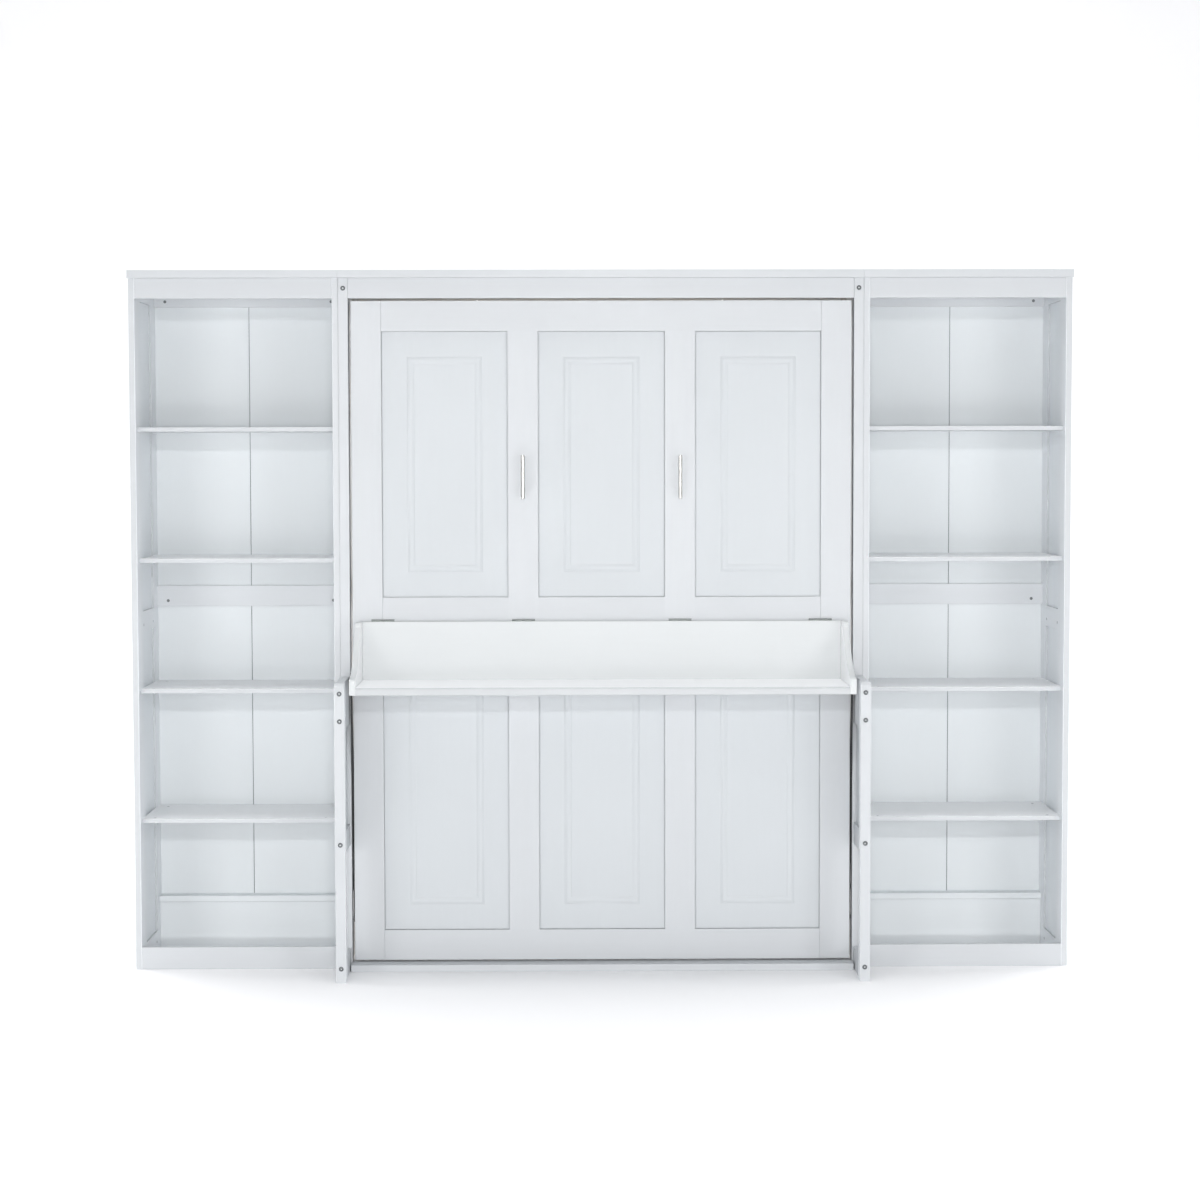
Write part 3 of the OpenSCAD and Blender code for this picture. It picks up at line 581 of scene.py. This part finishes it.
for face in panels.data.polygons:
    x, y, z = face.center
    face.select = (
        face.normal.y < -0.99
        and abs(y - panel_face) < 0.0002
        and any(
            left < x < right
            and low < z < high
            and min(x - left, right - x, z - low, high - z) < quirk
            for left, right in across
            for low, high in upwards
        )
    )
bpy.ops.object.mode_set(mode="EDIT")
bpy.ops.mesh.extrude_region_move(TRANSFORM_OT_translate={"value": (0, quirk_depth, 0)})
bpy.ops.object.mode_set(mode="OBJECT")
for face in panels.data.polygons:
    face.use_smooth = not is_square_on(face)

# ---------------------------------------------------------------------------
# The mattress box behind the front: white rails, and planed, unpainted pine
# slats lying across pine ledgers.
# ---------------------------------------------------------------------------
sand_edges(["bed_side_rails"], "bed", upright_paint, 0.002)
sand_edges(["bed_end_rails"], "bed", crosswise_paint, 0.002)


def planed_pine(name, along):
    """Bare pine: straight pale grain with darker summer wood."""
    material, tree = start_material(name)
    place = add(tree, "ShaderNodeTexCoord").outputs["Object"]
    # Growth rings 6 mm apart, drawn out about 600 mm along the board.
    stretch = [1.0, 1.0, 1.0]
    stretch[along] = 0.06
    drawn = add(tree, "ShaderNodeMapping", {"Vector": place, "Scale": stretch})
    wander = add(
        tree,
        "ShaderNodeTexNoise",
        {"Vector": drawn.outputs["Vector"], "Scale": 9.0, "Detail": 3.0, "Distortion": 0.4},
    )
    rings = add(
        tree,
        "ShaderNodeMath",
        {0: wander.outputs["Fac"], 1: 22.0},
        operation="MULTIPLY",
    )
    ring = add(tree, "ShaderNodeMath", {0: rings.outputs["Value"]}, operation="FRACT")
    fibre_stretch = [900.0, 900.0, 900.0]
    fibre_stretch[along] = 12.0
    fibres = add(tree, "ShaderNodeMapping", {"Vector": place, "Scale": fibre_stretch})
    fibre = add(
        tree,
        "ShaderNodeTexNoise",
        {"Vector": fibres.outputs["Vector"], "Scale": 1.0, "Detail": 2.0},
    )
    wood = add(tree, "ShaderNodeValToRGB", {"Fac": ring.outputs["Value"]})
    wood.color_ramp.elements[0].color = linear("#E9CFA0")
    wood.color_ramp.elements[1].color = linear("#D2A971")
    early = wood.color_ramp.elements.new(0.62)
    early.color = linear("#E4C592")
    speck = add(
        tree,
        "ShaderNodeMapRange",
        {"Value": fibre.outputs["Fac"], "From Min": 0.3, "From Max": 0.7, "To Min": 0.92},
    )
    colour = add(
        tree,
        "ShaderNodeMix",
        {"Factor": 1.0, "A": wood.outputs["Color"], "B": speck.outputs["Result"]},
        data_type="RGBA",
        blend_type="MULTIPLY",
    )
    relief = add(
        tree,
        "ShaderNodeBump",
        {"Height": fibre.outputs["Fac"], "Strength": 0.15, "Distance": 0.0008},
    )
    surface = add(
        tree,
        "ShaderNodeBsdfPrincipled",
        {
            "Base Color": colour.outputs["Result"],
            "Roughness": 0.62,
            "IOR": 1.5,
            "Normal": relief.outputs["Normal"],
        },
    )
    add(tree, "ShaderNodeOutputMaterial", {"Surface": surface.outputs["BSDF"]})
    return material


sand_edges(["bed_slats"], "bed", planed_pine("planed_pine_slats", 0), 0.002)
# The rounded ends leave faces without area where they meet the sanded edges.
bpy.ops.object.mode_set(mode="EDIT")
bpy.ops.mesh.select_all(action="SELECT")
bpy.ops.mesh.dissolve_degenerate(threshold=0.00001)
bpy.ops.object.mode_set(mode="OBJECT")
sand_edges(["slat_supports"], "bed", planed_pine("planed_pine_ledgers", 2), 0.0015)

# ---------------------------------------------------------------------------
# The handles: solid round bars on two posts, brushed along their length and
# plated with satin nickel.
# ---------------------------------------------------------------------------
satin_nickel = plated_steel("satin_nickel_brushed_bar", "#DEDDD9", 0.28, 2)
dress(["handle_bars", "handle_posts"], satin_nickel)

# ---------------------------------------------------------------------------
# The lift and the levelling gear: laser-cut steel plates, black powder-coated links
# and foot legs, black gas springs with chromed rods, and nylon bushes.
# ---------------------------------------------------------------------------


def powder_coat(name, colour, roughness):
    """Powder coat: an even colour with the fine pebble of baked powder."""
    material, tree = start_material(name)
    place = add(tree, "ShaderNodeTexCoord").outputs["Object"]
    # Pebble of about 2 mm, coarser than life so that it shows.
    pebble = add(tree, "ShaderNodeTexNoise", {"Vector": place, "Scale": 480.0, "Detail": 2.0})
    cloud = add(tree, "ShaderNodeTexNoise", {"Vector": place, "Scale": 12.0, "Detail": 2.0})
    lighter = [min(1.0, c * 1.12 + 0.002) for c in linear(colour)[:3]] + [1.0]
    coat = add(
        tree,
        "ShaderNodeMix",
        {"Factor": cloud.outputs["Fac"], "A": linear(colour), "B": lighter},
        data_type="RGBA",
    )
    relief = add(
        tree,
        "ShaderNodeBump",
        {"Height": pebble.outputs["Fac"], "Strength": 0.2, "Distance": 0.0005},
    )
    surface = add(
        tree,
        "ShaderNodeBsdfPrincipled",
        {
            "Base Color": coat.outputs["Result"],
            "Roughness": roughness,
            "IOR": 1.5,
            "Normal": relief.outputs["Normal"],
        },
    )
    add(tree, "ShaderNodeOutputMaterial", {"Surface": surface.outputs["BSDF"]})
    return material


black_coat = powder_coat("black_powder_coated_steel", "#1B1C1E", 0.5)
dress(["gas_cylinder_left", "gas_cylinder_right"], black_coat)
dress(["foot_leg_left", "foot_leg_right", "link_left", "link_right"], black_coat)
dress(["gas_rod_left", "gas_rod_right"], plated_steel("chromed_rod", "#D9DBDD", 0.14, 2))
dress(["pivot_bushes"], powder_coat("black_nylon", "#1F2022", 0.58))
dress(["pivot_plates"], bright_zinc)

# ---------------------------------------------------------------------------
# The desk's butt hinges: folded leaves with round knuckles on a steel pin. Their zinc plate is a
# mid grey.
# ---------------------------------------------------------------------------
hinge_zinc = plated_steel("grey_zinc_plated_hinges", "#909594", 0.4, 0)
dress(["hinge_bed_leaves", "hinge_desk_leaves", "hinge_pins"], hinge_zinc)

# ---------------------------------------------------------------------------
# The desk: a white lacquered top and back board between two cheeks that sweep from a narrow neck
# out to the desk's front edge. What looks up or sideways has a lighter coat, painted light, like
# the legs' sides, and the top's edges and underside a darker coat, painted shade.
# ---------------------------------------------------------------------------
desk_paint = white_lacquer("satin_lacquer_desk", "#D1D4D5", 0, 0.42, 0.008)
# The top's edges and underside: a darker coat, painted shade.
desk_painted_shade_coat = white_lacquer("satin_lacquer_desk_edges_painted_shade", "#C1C4C6", 0, 0.42, 0.008)
# The top's upper face and the cheeks' sides: a lighter coat, painted light.
desk_painted_light_coat = white_lacquer("satin_lacquer_desk_painted_light", "#F8F9FA", 0, 0.42, 0.006)
sand_edges(["desk_top"], "desk", desk_painted_shade_coat, 0.0015)
coat_faces("desk_top", desk_painted_light_coat, lambda face: face.normal.z > 0.9)
sand_edges(["desk_back"], "desk", desk_paint, 0.0015)
sand_edges(["desk_cheek_left", "desk_cheek_right"], "desk", desk_paint, 0.002)
for cheek in ("desk_cheek_left", "desk_cheek_right"):
    coat_faces(cheek, desk_painted_light_coat, lambda face: abs(face.normal.x) > 0.9)
